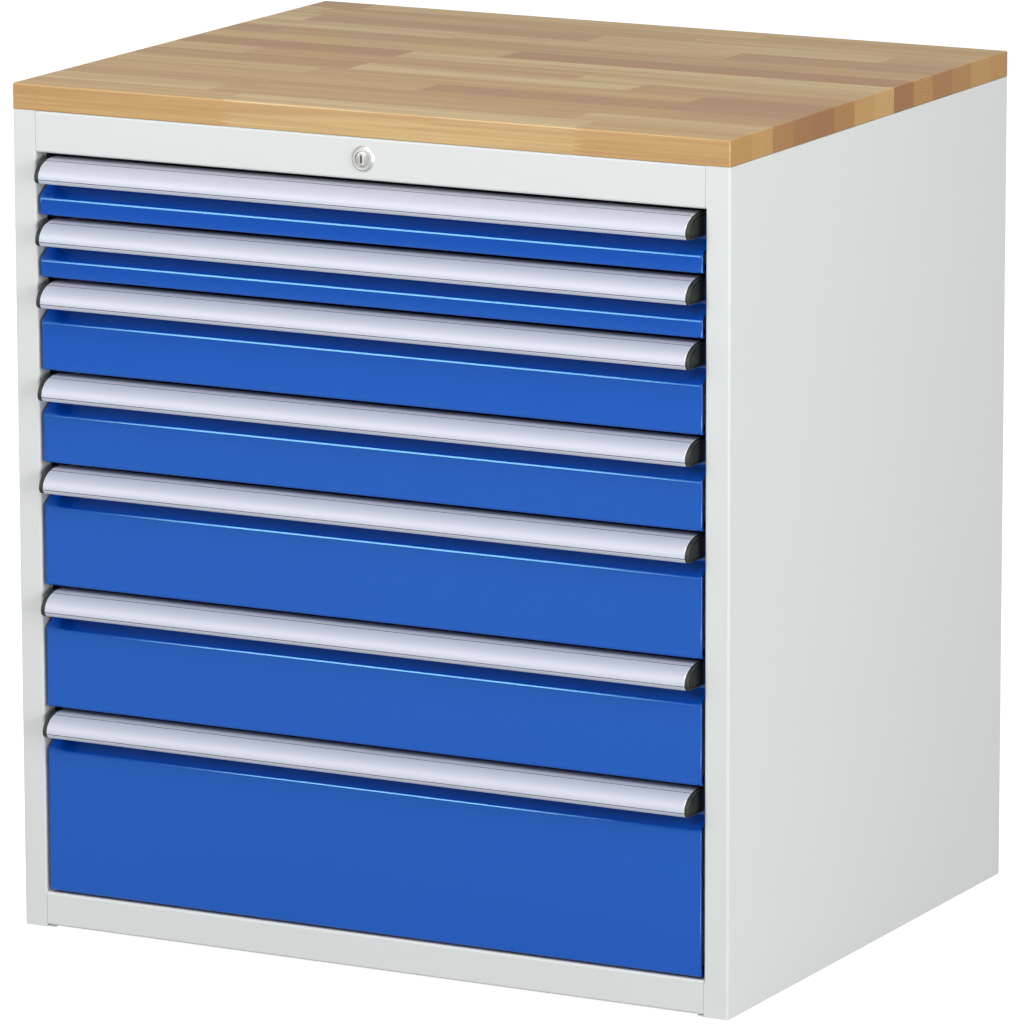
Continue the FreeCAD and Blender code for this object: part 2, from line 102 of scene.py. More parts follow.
class CabinetColours(bpy.types.PropertyGroup):
    """Colours of the finishes"""

    housing: colour_prop("Housing", "Powder coat of the housing", (214, 217, 215))
    front: colour_prop("Fronts", "Powder coat of the drawer fronts", (0, 71, 180))
    tray: colour_prop("Trays", "Powder coat of the drawer trays", (196, 200, 202))
    aluminium: colour_prop("Grip strips", "Satin anodised aluminium", (203, 208, 221))
    # Painted shade: the grooves' metal is darker than the strip to show the shade inside them
    groove: colour_prop("Grooves", "Metal in the grooves of the strips", (92, 100, 118))
    # Bare sawn metal, made brighter still as a painted highlight on the rims
    sawn: colour_prop("Sawn ends", "Bright rims of the strips", (238, 241, 246))
    cap: colour_prop("End caps", "Moulded plastic of the strip ends", (38, 40, 36))
    guide: colour_prop("Guides", "Moulded plastic of the bar guides", (170, 172, 170))
    zinc: colour_prop("Zinc", "Zinc plated steel", (190, 194, 200))
    chrome: colour_prop("Chrome", "Chromium plated lock", (226, 226, 223))
    beech_light: colour_prop("Beech, light", "Palest staves", (230, 203, 144))
    beech_mid: colour_prop("Beech, middle", "Ordinary staves", (214, 176, 110))
    beech_dark: colour_prop("Beech, dark", "Brownest staves", (180, 133, 78))


class CabinetSizes(bpy.types.PropertyGroup):
    """Sizes of the pieces that are made here"""

    housing_fold: length_prop("Housing fold", "Outer radius of the folds in the side panels", 0.0025)
    housing_sheet: length_prop("Housing sheet", "Thickness of the side panels", 0.0015)
    stile: length_prop("Stile", "Width of the stile at the front of a side panel", 0.025)
    stile_return: length_prop("Stile return", "Depth of the stile's inner fold", 0.020)
    rear_flange: length_prop("Rear flange", "Width of the fold at the back of a side panel", 0.022)
    head_flange: length_prop("Head flange", "Width of the fold at the top of a side panel", 0.025)
    foot_hole: length_prop("Foot hole", "Radius of the holes in the lower folds", 0.0045)
    foot_inset: length_prop("Foot inset", "From the outside of the cabinet to those holes", 0.017)
    foot_end: length_prop("Foot end", "From the front and the back to those holes", 0.060)
    rail_fold: length_prop("Rail fold", "Outer radius of the fold under the worktop", 0.0002)
    fold: length_prop("Fold radius", "Outer radius of the folds in the drawer fronts", 0.0026)
    front_sheet: length_prop("Front sheet", "Thickness of the drawer fronts", 0.0012)
    front_cheek: length_prop("Front cheek", "Depth of the folds at the sides of a front", 0.0036)
    front_recess: length_prop("Front recess", "How far the upper part of a front lies behind its face", 0.016)
    ledge_drop: length_prop("Ledge drop", "From the top of a front down to the back of its ledge", 0.0275)
    face_drop: length_prop("Face drop", "From the top of a front down to the top of its face", 0.038)
    strip_wall: length_prop("Strip wall", "Wall of the grip strip", 0.0018)
    strip_flat: length_prop("Strip flat", "Level stretch at the top of a strip", 0.007)
    strip_tip_drop: length_prop("Strip tip", "From the top of a grip strip down to its foremost line", 0.017)
    strip_curl: length_prop("Strip curl", "Radius of the lip under the grip strip", 0.006)
    strip_curl_angle: angle_prop("Curl angle", "How far the lip turns under", 60)
    strip_leg: length_prop("Strip leg", "Height of the leg that holds the strip", 0.020)
    strip_end: length_prop("Strip end", "Rounding of the sawn ends of a strip", 0.0012)
    hood_groove: angle_prop("Hood groove", "Place of the line along the hood, from its top", 26)
    lip_groove: angle_prop("Lip groove", "Place of the line along the lip, from the foremost line", 13)
    groove: length_prop("Groove", "Half width of the lines along a strip", 0.00045)
    groove_depth: length_prop("Groove depth", "Depth of the deeper line along a strip", 0.0014)
    cap_lap: length_prop("Cap lap", "How far an end cap reaches over the end of the strip", 0.0015)
    cap_rim: length_prop("Cap rim", "Width of the rim round an end cap", 0.0016)
    lock_dome: length_prop("Lock dome", "How far the face of the lock bulges", 0.0007)
    board_round: length_prop("Board edge", "Rounding of the worktop's edges", 0.0016)
    stave_width: length_prop("Stave width", "Width of one beech stave", 0.0436)
    stave_length: length_prop("Stave length", "Usual length of one beech stave", 0.36)
    finger_pitch: length_prop("Finger pitch", "Spacing of the glued fingers between staves", 0.0042)
    first_joint: length_prop("First joint", "Place along X of a joint in the front stave", -0.146)
    first_stave: length_prop("First stave", "Length of the stave beside that joint", 0.371)


class CabinetStage(bpy.types.PropertyGroup):
    """Camera, light and floor"""

    lens: FloatProperty(name="Lens", description="Focal length", subtype="DISTANCE_CAMERA", default=274.3)
    yaw: angle_prop("Yaw", "Turn of the camera to the left", 27.847)
    pitch: angle_prop("Pitch", "Tilt of the camera down", 11.948)
    roll: angle_prop("Roll", "Turn of the picture", -0.159)
    key_power: power_prop("Key light", "Power of the tall light from the front left", 37)
    top_power: power_prop("Top light", "Power of the light above the front", 37)
    side_power: power_prop("Side light", "Power of the light from the right", 87)
    back_power: power_prop("Back light", "Power of the light from the left and behind", 55)
    horizon: FloatProperty(name="Horizon", description="Brightness of the room at eye level", default=0.5)
    zenith: FloatProperty(name="Zenith", description="Brightness of the room overhead", default=0.35)
    floor_glow: FloatProperty(name="Floor glow", description="Light that the floor gives off", default=0.15)


# Selecting and shaping
def clear_selection():
    if bpy.context.object and bpy.context.object.mode != "OBJECT":
        bpy.ops.object.mode_set(mode="OBJECT")
    bpy.ops.object.select_all(action="DESELECT")


def only(piece):
    clear_selection()
    piece.select_set(True)
    bpy.context.view_layer.objects.active = piece


def edit(piece):
    only(piece)
    bpy.ops.object.mode_set(mode="EDIT")


def pick(piece, kind, test):
    """In edit mode, selects only those vertices, edges or faces that pass the test."""
    bpy.ops.mesh.select_mode(type=kind)
    bpy.ops.mesh.select_all(action="DESELECT")
    mesh = bmesh.from_edit_mesh(piece.data)
    for item in {"VERT": mesh.verts, "EDGE": mesh.edges, "FACE": mesh.faces}[kind]:
        if test(item):
            item.select_set(True)
    mesh.select_flush_mode()
    bmesh.update_edit_mesh(piece.data)


def middle_of(edge):
    return (edge.verts[0].co + edge.verts[1].co) / 2


def along(edge, axis):
    """True where an edge runs along axis 0, 1 or 2."""
    step = edge.verts[1].co - edge.verts[0].co
    return abs(step[axis]) > 0.99 * step.length


def start_line(name, point):
    """A new mesh of one vertex at the point, in edit mode, to be drawn on from."""
    clear_selection()
    bpy.ops.mesh.primitive_plane_add(size=0.001, location=point)
    piece = bpy.context.object
    piece.name = name
    bpy.ops.object.transform_apply(location=True, rotation=True, scale=True)
    bpy.ops.object.mode_set(mode="EDIT")
    bpy.ops.mesh.select_mode(type="VERT")
    bpy.ops.mesh.select_all(action="SELECT")
    bpy.ops.mesh.merge(type="CENTER")
    return piece


def draw(step):
    """Extrudes what is selected by a step."""
    bpy.ops.mesh.extrude_region_move(TRANSFORM_OT_translate={"value": step})


def swing(centre, axis, degrees, steps):
    """Spins what is selected about a line."""
    bpy.ops.mesh.spin(steps=steps, dupli=False, angle=math.radians(degrees), center=centre, axis=axis)


def start_block(name, low, high):
    """A new block between two corners, with its object at the origin."""
    clear_selection()
    low, high = Vector(low), Vector(high)
    bpy.ops.mesh.primitive_cube_add(size=1, location=(low + high) / 2, scale=high - low)
    piece = bpy.context.object
    piece.name = name
    bpy.ops.object.transform_apply(location=True, rotation=True, scale=True)
    return piece


def apply_modifier(piece, kind, **settings):
    only(piece)
    modifier = piece.modifiers.new(kind.title(), kind)
    for key, value in settings.items():
        setattr(modifier, key, value)
    bpy.ops.object.modifier_apply(modifier=modifier.name)


def smooth(piece, degrees=40):
    only(piece)
    bpy.ops.object.shade_smooth_by_angle(angle=math.radians(degrees))
    apply_modifier(piece, "WEIGHTED_NORMAL", mode="FACE_AREA", keep_sharp=True)


def outward(piece):
    edit(piece)
    bpy.ops.mesh.select_all(action="SELECT")
    bpy.ops.mesh.remove_doubles(threshold=MERGE)
    bpy.ops.mesh.normals_make_consistent(inside=False)
    bpy.ops.object.mode_set(mode="OBJECT")


def join(pieces, name):
    clear_selection()
    for piece in pieces:
        piece.select_set(True)
    bpy.context.view_layer.objects.active = pieces[0]
    bpy.ops.object.join()
    pieces[0].name = name
    return pieces[0]


def copy_of(piece, name, step):
    """A copy with its own mesh, moved in its mesh."""
    twin = piece.copy()
    twin.data = piece.data.copy()
    twin.name = name
    twin.data.transform(Matrix.Translation(step))
    bpy.context.scene.collection.objects.link(twin)
    return twin


def remove(piece):
    bpy.data.meshes.remove(piece.data)


def dress(piece, material, body, slot, *stands_for):
    piece.data.materials.clear()
    piece.data.materials.append(material)
    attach(piece, body)
    if stands_for:
        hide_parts(*stands_for)


# Materials
def wire(tree, value, socket):
    """Puts a number, a colour or another node's output into a socket."""
    if isinstance(value, bpy.types.NodeSocket):
        tree.links.new(value, socket)
    elif hasattr(socket.default_value, "__len__") and len(socket.default_value) == 4 and len(value) == 3:
        socket.default_value = (*value, 1)
    else:
        socket.default_value = value


def put(tree, kind, output=0, settings=None, **inputs):
    """Adds a node, fills its inputs by name or by number (_0, _1) and returns one of its outputs."""
    node = tree.nodes.new("ShaderNode" + kind)
    for key, value in (settings or {}).items():
        setattr(node, key, value)
    for key, value in inputs.items():
        spot = int(key[1:]) if key[0] == "_" else key.replace("_", " ")
        wire(tree, value, node.inputs[spot])
    return node.outputs[output]


def calc(tree, operation, *values):
    return put(tree, "Math", settings={"operation": operation}, **{f"_{n}": v for n, v in enumerate(values)})


def blend_colours(tree, factor, first, second, mode="MIX"):
    node = tree.nodes.new("ShaderNodeMix")
    node.data_type = "RGBA"
    node.blend_type = mode
    wire(tree, factor, node.inputs[0])
    wire(tree, first, node.inputs[6])
    wire(tree, second, node.inputs[7])
    return node.outputs[2]


def spread(tree, value, low, high, new_low=0.0, new_high=1.0):
    """Maps a value from one range to another and holds it there."""
    inputs = {"From_Min": low, "From_Max": high, "To_Min": new_low, "To_Max": new_high}
    return put(tree, "MapRange", Value=value, **inputs)


def place(tree, scale=(1, 1, 1)):
    """The point on the piece in metres, stretched for a pattern."""
    return put(tree, "Mapping", Vector=put(tree, "TexCoord", "Object"), Scale=scale)


def about(tree, noise, amount, middle):
    """Lets a value vary about its middle with a noise of 0 to 1."""
    return calc(tree, "MULTIPLY_ADD", calc(tree, "SUBTRACT", noise, 0.5), amount, middle)


def tint(tree, value, colour):
    """The colour made lighter or darker by a factor."""
    return put(tree, "HueSaturation", Value=value, Color=colour)


def moved(tree, first, second, operation="ADD"):
    return put(tree, "VectorMath", 0, {"operation": operation}, _0=first, _1=second)


def new_group(name, inputs, outputs):
    tree = bpy.data.node_groups.new(name, "ShaderNodeTree")
    for label, kind, value in inputs:
        socket = tree.interface.new_socket(name=label, in_out="INPUT", socket_type=kind)
        socket.default_value = value
    for label, kind in outputs:
        tree.interface.new_socket(name=label, in_out="OUTPUT", socket_type=kind)
    return tree, tree.nodes.new("NodeGroupInput").outputs, tree.nodes.new("NodeGroupOutput").inputs


def use_group(tree, name, **inputs):
    node = tree.nodes.new("ShaderNodeGroup")
    node.node_tree = bpy.data.node_groups[name]
    for key, value in inputs.items():
        wire(tree, value, node.inputs[key.replace("_", " ")])
    return node.outputs


def new_material(name, **constants):
    material = bpy.data.materials.new(name)
    material.use_nodes = True
    tree = material.node_tree
    shader = tree.nodes["Principled BSDF"]
    for key, value in constants.items():
        wire(tree, value, shader.inputs[key.replace("_", " ")])
    return material, tree, shader.inputs


def surface(name, group, inputs, constants):
    """A material whose colour, roughness and normal come from a group."""
    material, tree, shader = new_material(name, **constants)
    outputs = use_group(tree, group, **inputs)
    tree.links.new(outputs["Colour"], shader["Base Color"])
    tree.links.new(outputs["Roughness"], shader["Roughness"])
    tree.links.new(outputs["Normal"], shader["Normal"])
    return material


def make_powder_group():
    """Powder coat: fine orange peel, a faint cloudiness and a slightly uneven gloss."""
    tree, given, result = new_group(
        "Powder coat",
        [
            ("Colour", "NodeSocketColor", (0.8, 0.8, 0.8, 1)), ("Cloudiness", "NodeSocketFloat", 0.03),
            ("Grain", "NodeSocketFloat", 900.0), ("Peel", "NodeSocketFloat", 0.12),
            ("Gloss", "NodeSocketFloat", 0.45),
        ],
        [("Colour", "NodeSocketColor"), ("Roughness", "NodeSocketFloat"), ("Normal", "NodeSocketVector")],
    )
    spot = place(tree)
    cloud = put(tree, "TexNoise", 0, Vector=spot, Scale=3.0, Detail=3.0)
    shift = about(tree, cloud, given["Cloudiness"], 1.0)
    tree.links.new(tint(tree, shift, given["Colour"]), result["Colour"])
    fine = put(tree, "TexNoise", 0, Vector=spot, Scale=given["Grain"], Detail=2.0, Roughness=0.6)
    wear = put(tree, "TexNoise", 0, Vector=spot, Scale=11.0, Detail=4.0)
    tree.links.new(about(tree, wear, 0.12, given["Gloss"]), result["Roughness"])
    bump = put(tree, "Bump", 0, Strength=given["Peel"], Distance=0.0002, Height=fine)
    tree.links.new(bump, result["Normal"])


def powder_coat(name, colour, grain, peel, gloss, cloudiness, **constants):
    inputs = {"Colour": colour, "Grain": grain, "Peel": peel, "Gloss": gloss, "Cloudiness": cloudiness}
    return surface(name, "Powder coat", inputs, constants)


def make_drawn_metal_group():
    """Rolled or extruded metal: fine lines along X, a faint spread of tone, a shade on what looks up."""
    tree, given, result = new_group(
        "Drawn metal",
        [
            ("Colour", "NodeSocketColor", (0.8, 0.8, 0.8, 1)), ("Lines", "NodeSocketFloat", 0.1),
            ("Gloss", "NodeSocketFloat", 0.3), ("Spots", "NodeSocketFloat", 0.0),
            ("Shade", "NodeSocketFloat", 0.0),
        ],
        [("Colour", "NodeSocketColor"), ("Roughness", "NodeSocketFloat"), ("Normal", "NodeSocketVector")],
    )
    lines = put(tree, "TexNoise", 0, Vector=place(tree, (3, 900, 900)), Scale=1.0, Detail=3.0)
    blotch = put(tree, "TexVoronoi", "Color", Vector=place(tree), Scale=260.0)
    spangle = about(tree, blotch, given["Spots"], about(tree, lines, given["Lines"], 1.0))
    # Painted in to follow the photograph: the strips are darker along the top than the lights alone make them
    upward = put(tree, "SeparateXYZ", 2, Vector=put(tree, "NewGeometry", "Normal"))
    shaded = calc(tree, "MULTIPLY", spread(tree, upward, 0.25, 0.98), given["Shade"])
    tone = calc(tree, "MULTIPLY", spangle, calc(tree, "SUBTRACT", 1.0, shaded))
    tree.links.new(tint(tree, tone, given["Colour"]), result["Colour"])
    tree.links.new(about(tree, lines, given["Lines"], given["Gloss"]), result["Roughness"])
    bump = put(tree, "Bump", 0, Strength=given["Lines"], Distance=0.0001, Height=lines)
    tree.links.new(bump, result["Normal"])


def drawn_metal(name, colour, lines, gloss, metallic=1.0, spots=0.0, shade=0.0):
    inputs = {"Colour": colour, "Lines": lines, "Gloss": gloss, "Spots": spots, "Shade": shade}
    return surface(name, "Drawn metal", inputs, {"Metallic": metallic})


def moulded_plastic(name, colour, gloss):
    material, tree, shader = new_material(name)
    fine = put(tree, "TexNoise", 0, Vector=place(tree), Scale=1400.0, Detail=2.0)
    cloud = put(tree, "TexNoise", 0, Vector=place(tree), Scale=170.0, Detail=3.0)
    tree.links.new(tint(tree, spread(tree, cloud, 0.35, 0.65, 0.7, 1.35), colour), shader["Base Color"])
    tree.links.new(spread(tree, cloud, 0.3, 0.7, gloss - 0.05, gloss + 0.08), shader["Roughness"])
    tree.links.new(put(tree, "Bump", 0, Strength=0.25, Distance=0.0001, Height=fine), shader["Normal"])
    return material


def chrome_plate(name, colour):
    material, tree, shader = new_material(name, Metallic=1.0)
    haze = put(tree, "TexNoise", 0, Vector=place(tree), Scale=420.0, Detail=4.0)
    tree.links.new(spread(tree, haze, 0.35, 0.7, 0.40, 0.52), shader["Roughness"])
    tree.links.new(tint(tree, spread(tree, haze, 0.3, 0.8, 1.0, 0.9), colour), shader["Base Color"])
    tree.links.new(put(tree, "Bump", 0, Strength=0.04, Distance=0.0001, Height=haze), shader["Normal"])
    return material


def pick_value(tree, factor, first, second):
    """Between two numbers, by a factor."""
    return put(tree, "Mix", 0, {"data_type": "FLOAT"}, Factor=factor, _2=first, _3=second)


def beech_staves(name, colours, sizes, front, left):
    """Glued beech staves that run along X, each with its own tone, joined end to end by fingers."""
    material, tree, shader = new_material(name, Coat_Weight=0.7, Coat_Roughness=0.4)
    spot = put(tree, "TexCoord", "Object")
    axis = put(tree, "SeparateXYZ", 0, Vector=spot).node.outputs
    turned = put(tree, "SeparateXYZ", 0, Vector=put(tree, "NewGeometry", "True Normal")).node.outputs
    on_end = spread(tree, calc(tree, "ABSOLUTE", turned["X"]), 0.6, 0.8)
    across = calc(tree, "DIVIDE", calc(tree, "SUBTRACT", axis["Y"], front), sizes.stave_width)
    row = calc(tree, "FLOOR", across)
    first_row = calc(tree, "LESS_THAN", row, 0.5)
    row_luck = put(tree, "TexWhiteNoise", "Value", {"noise_dimensions": "1D"}, W=calc(tree, "ADD", row, 3.5))
    teeth = calc(tree, "PINGPONG", calc(tree, "DIVIDE", axis["Z"], sizes.finger_pitch), 0.5)
    finger = spread(tree, teeth, 0.12, 0.38, -0.0048, 0.0048)
    length = calc(tree, "MULTIPLY", spread(tree, row_luck, 0.0, 1.0, 0.75, 1.25), sizes.stave_length)
    run = calc(tree, "ADD", calc(tree, "SUBTRACT", axis["X"], left), finger)
    run = calc(tree, "ADD", calc(tree, "DIVIDE", run, length), calc(tree, "MULTIPLY", row_luck, 7.0))
    first_run = calc(tree, "ADD", calc(tree, "SUBTRACT", axis["X"], sizes.first_joint), finger)
    first_run = calc(tree, "DIVIDE", first_run, sizes.first_stave)
    run = pick_value(tree, first_row, run, first_run)
    piece = calc(tree, "FLOOR", run)
    both = put(tree, "CombineXYZ", 0, X=row, Y=piece, Z=0.0)
    luck = put(tree, "TexWhiteNoise", "Value", {"noise_dimensions": "3D"}, Vector=both)
    luck_colour = put(tree, "TexWhiteNoise", "Color", {"noise_dimensions": "3D"}, Vector=both)
    # The front stave's two tones are fixed, and its sawn end keeps its own
    first_luck = spread(tree, calc(tree, "ABSOLUTE", piece), 0.0, 1.0, 0.08, 0.42)
    on_front = calc(tree, "MULTIPLY", first_row, calc(tree, "SUBTRACT", 1.0, on_end))
    luck = pick_value(tree, on_front, luck, first_luck)
    ramp = tree.nodes.new("ShaderNodeValToRGB")
    ramp.color_ramp.elements[0].color = (*colours.beech_light, 1)
    ramp.color_ramp.elements[1].color = (*colours.beech_dark, 1)
    ramp.color_ramp.elements.new(0.45).color = (*colours.beech_mid, 1)
    tree.links.new(luck, ramp.inputs["Fac"])
    shift = put(tree, "VectorMath", 0, {"operation": "SCALE"}, Vector=luck_colour, Scale=5.0)
    # Long soft streaks, then short fine ones and the dark flecks of beech
    grain_spot = moved(tree, place(tree, (1.6, 55, 55)), shift)
    grain = put(tree, "TexNoise", 0, Vector=grain_spot, Scale=1.0, Detail=6.0, Roughness=0.68, Distortion=0.5)
    streak_spot = moved(tree, place(tree, (4, 330, 330)), shift)
    fine = {"Detail": 4.0, "Roughness": 0.6, "Distortion": 0.3}
    streak = put(tree, "TexNoise", 0, Vector=streak_spot, Scale=1.0, **fine)
    fleck_spot = moved(tree, place(tree, (110, 1100, 1100)), shift)
    fleck = put(tree, "TexNoise", 0, Vector=fleck_spot, Scale=1.0, Detail=2.0)
    # Growth rings on the sawn ends
    ring_shift = moved(tree, luck_colour, (0.0, 0.12, 0.09), "MULTIPLY")
    ring_heart = put(tree, "Mapping", Vector=spot, Location=(0, -0.03, -0.87))
    ring_spot = moved(tree, ring_heart, ring_shift)
    ring_axis = put(tree, "SeparateXYZ", 0, Vector=ring_spot).node.outputs
    own_y = calc(tree, "SUBTRACT", ring_axis["Y"], calc(tree, "MULTIPLY", row, sizes.stave_width))
    flat_spot = put(tree, "CombineXYZ", 0, X=0.0, Y=calc(tree, "SUBTRACT", own_y, front), Z=ring_axis["Z"])
    rings = put(
        tree, "TexWave", "Fac", {"wave_type": "RINGS", "rings_direction": "X", "wave_profile": "SIN"},
        Vector=flat_spot, Scale=95.0, Distortion=2.2, Detail=3.0, Detail_Scale=1.5,
    )
    stave_tone = ramp.outputs["Color"]
    tone = blend_colours(tree, spread(tree, grain, 0.40, 0.68, 0.0, 0.6), stave_tone, colours.beech_dark)
    tone = blend_colours(tree, spread(tree, streak, 0.42, 0.66, 0.0, 0.5), tone, colours.beech_dark)
    tone = blend_colours(tree, spread(tree, fleck, 0.62, 0.75, 0.0, 0.3), tone, linear(140, 96, 62))
    end_tone = blend_colours(tree, 1.0, stave_tone, linear(226, 206, 172), "MULTIPLY")
    end_tone = blend_colours(tree, spread(tree, rings, 0.25, 0.75, 0.42, 0.0), end_tone, linear(120, 78, 40))
    end_tone = blend_colours(tree, spread(tree, luck, 0.35, 1.0, 0.0, 0.35), end_tone, linear(146, 96, 42))
    tone = blend_colours(tree, on_end, tone, end_tone)
    # A thin glue line between rows
    off_middle = calc(tree, "ABSOLUTE", calc(tree, "SUBTRACT", calc(tree, "FRACT", across), 0.5))
    glue = spread(tree, off_middle, 0.49, 0.5, 0.0, 0.35)
    tone = blend_colours(tree, glue, tone, linear(150, 106, 66))
    tree.links.new(tone, shader["Base Color"])
    tree.links.new(spread(tree, grain, 0.3, 0.7, 0.38, 0.5), shader["Roughness"])
    tree.links.new(put(tree, "Bump", 0, Strength=0.12, Distance=0.0002, Height=grain), shader["Normal"])
    return material


def make_materials(context):
    colours = context.scene.cabinet_colours
    sizes = context.scene.cabinet_sizes
    make_powder_group()
    make_drawn_metal_group()
    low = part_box("worktop")[0]
    # A high specular level with a blue tint gives the bends of the fronts their bright blue line
    front_gloss = {"IOR": 1.62, "Specular_IOR_Level": 1.0, "Specular_Tint": (0.32, 0.76, 1.0)}
    return {
        "housing_paint": powder_coat("Housing powder coat", colours.housing, 900.0, 0.10, 0.42, 0.02),
        "front_paint": powder_coat(
            "Front powder coat", colours.front, 900.0, 0.12, 0.12, 0.05, **front_gloss
        ),
        "tray_paint": powder_coat("Tray powder coat", colours.tray, 900.0, 0.12, 0.45, 0.03),
        "grip_aluminium": drawn_metal("Satin aluminium", colours.aluminium, 0.06, 0.5, 0.10, shade=0.20),
        # Painted shade in the grooves: a darker metal than the strip
        "groove": drawn_metal("Groove in the strip", colours.groove, 0.06, 0.6, 0.10),
        # Painted highlight: the sawn rims are bare metal, lighter than the anodised strip and lifted further
        "sawn": drawn_metal("Sawn aluminium", colours.sawn, 0.10, 0.3, 0.4),
        "zinc": drawn_metal("Zinc plate", colours.zinc, 0.12, 0.34, spots=0.10),
        "cap_plastic": moulded_plastic("Cap plastic", colours.cap, 0.5),
        "guide_plastic": moulded_plastic("Guide plastic", colours.guide, 0.45),
        "chrome": chrome_plate("Chrome", colours.chrome),
        "beech": beech_staves("Beech staves", colours, sizes, low.y, low.x),
    }


FINISH = {}


class CABINET_OT_coat_parts(bpy.types.Operator):
    """Gives every part of the housing, the drawers and the gear its finish"""

    bl_idname = "cabinet.coat_parts"
    bl_label = "Coat the parts"

    def execute(self, context):
        FINISH.update(make_materials(context))
        for subpart in frame["record"]["subparts"]:
            materials = NODES[subpart["node"]].data.materials
            materials.clear()
            materials.append(FINISH[subpart["material_slot"]])
        return {"FINISHED"}


class CABINET_OT_make_worktop(bpy.types.Operator):
    """Makes the beech worktop with eased edges"""

    bl_idname = "cabinet.make_worktop"
    bl_label = "Make the worktop"

    def execute(self, context):
        sizes = context.scene.cabinet_sizes
        low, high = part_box("worktop")
        board = start_block("beech_worktop", low, high)
        edit(board)
        pick(board, "EDGE", lambda edge: along(edge, 2))
        bpy.ops.mesh.bevel(offset=sizes.board_round * 1.25, segments=4, affect="EDGES")
        for level, share, segments in ((high.z, 1, 4), (low.z, 0.6, 2)):
            pick(board, "EDGE", lambda edge: not along(edge, 2) and abs(middle_of(edge).z - level) < NEAR)
            bpy.ops.mesh.bevel(offset=sizes.board_round * share, segments=segments, affect="EDGES")
        bpy.ops.object.mode_set(mode="OBJECT")
        smooth(board)
        dress(board, FINISH["beech"], "cabinet", "beech", "worktop")
        return {"FINISHED"}


class CABINET_OT_make_sides(bpy.types.Operator):
    """Folds the two side panels with their stiles, returns and flanges"""

    bl_idname = "cabinet.make_sides"
    bl_label = "Make the side panels"

    def execute(self, context):
        sizes = context.scene.cabinet_sizes
        low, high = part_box("side_panel_right")
        sheet = self.sheet(sizes, low, high)
        skin = sizes.housing_sheet
        inner, front, back = high.x - skin, low.y + skin, high.y - skin
        foot = start_block("foot_flange", (low.x, front, low.z), (inner, back, low.z + skin))
        head_low = (high.x - sizes.head_flange, front, high.z - skin)
        head = start_block("head_flange", head_low, (inner, back, high.z))
        for end in (low.y + sizes.foot_end, high.y - sizes.foot_end):
            clear_selection()
            spot = (high.x - sizes.foot_inset, end, low.z)
            hole = {"vertices": 32, "radius": sizes.foot_hole, "depth": 0.01}
            bpy.ops.mesh.primitive_cylinder_add(location=spot, **hole)
            drill = bpy.context.object
            apply_modifier(foot, "BOOLEAN", operation="DIFFERENCE", object=drill, solver="EXACT")
            remove(drill)
        right = join([sheet, foot, head], "side_panel_sheet_right")
        left = copy_of(right, "side_panel_sheet_left", (0, 0, 0))
        left.data.transform(Matrix.Scale(-1, 4, (1, 0, 0)))
        edit(left)
        bpy.ops.mesh.select_all(action="SELECT")
        bpy.ops.mesh.flip_normals()
        bpy.ops.object.mode_set(mode="OBJECT")
        for panel, side in ((right, "right"), (left, "left")):
            smooth(panel)
            dress(panel, FINISH["housing_paint"], "cabinet", "housing_paint", f"side_panel_{side}")
        return {"FINISHED"}

    def sheet(self, sizes, low, high):
        """One sheet from the stile's return round to the rear flange."""
        opening = (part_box("bottom_rail")[1].z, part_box("top_rail")[0].z)
        line = start_line("side_sheet", (high.x - sizes.stile, low.y, low.z))
        draw((sizes.stile, 0, 0))
        draw((0, high.y - low.y, 0))
        draw((-sizes.rear_flange, 0, 0))
        bpy.ops.mesh.select_all(action="SELECT")
        for rise in (opening[0] - low.z, opening[1] - opening[0], high.z - opening[1]):
            draw((0, 0, rise))
        inner_edge = high.x - sizes.stile

        def beside_opening(edge):
            spot = middle_of(edge)
            on_edge = spot.x < inner_edge + NEAR and spot.y < low.y + NEAR
            return along(edge, 2) and on_edge and opening[0] < spot.z < opening[1]

        pick(line, "EDGE", beside_opening)
        draw((0, sizes.stile_return, 0))
        bpy.ops.mesh.select_all(action="SELECT")
        bpy.ops.mesh.normals_make_consistent(inside=False)
        if max(bmesh.from_edit_mesh(line.data).faces, key=lambda f: f.calc_center_median().x).normal.x < 0:
            bpy.ops.mesh.flip_normals()
        pick(line, "EDGE", lambda e: along(e, 2) and len(e.link_faces) == 2 and e.calc_face_angle() > 1)
        bpy.ops.mesh.bevel(offset=sizes.housing_fold, segments=4, affect="EDGES")
        bpy.ops.object.mode_set(mode="OBJECT")
        apply_modifier(line, "SOLIDIFY", thickness=sizes.housing_sheet, offset=-1)
        return line


class CABINET_OT_make_rail(bpy.types.Operator):
    """Takes the rail above the drawers over from the frame, with a tighter fold under the worktop"""

    bl_idname = "cabinet.make_rail"
    bl_label = "Make the top rail"

    def execute(self, context):
        sizes = context.scene.cabinet_sizes
        low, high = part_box("top_rail")
        skin = sizes.housing_sheet
        rail = copy_of(NODES["top_rail"], "top_rail_sheet", (0, 0, 0))
        # The frame's fold is a quarter turn of this radius about the corner's heart
        radius = high.z - max(v.co.z for v in rail.data.vertices if v.co.y - low.y < skin / 2)
        share = sizes.rail_fold / radius
        for vertex in rail.data.vertices:
            across, down = vertex.co.y - low.y, high.z - vertex.co.z
            if max(across, down) > radius + MERGE:
                continue
            spoke = Vector((across - radius, radius - down))
            if spoke.length > radius - skin / 2:
                vertex.co.y = low.y + sizes.rail_fold + spoke.x * share
                vertex.co.z = high.z - sizes.rail_fold + spoke.y * share
            else:
                vertex.co.y = low.y + skin
                vertex.co.z = high.z - skin
        only(rail)
        bpy.ops.mesh.customdata_custom_splitnormals_clear()
        outward(rail)
        smooth(rail)
        dress(rail, FINISH["housing_paint"], "cabinet", "housing_paint", "top_rail")
        return {"FINISHED"}


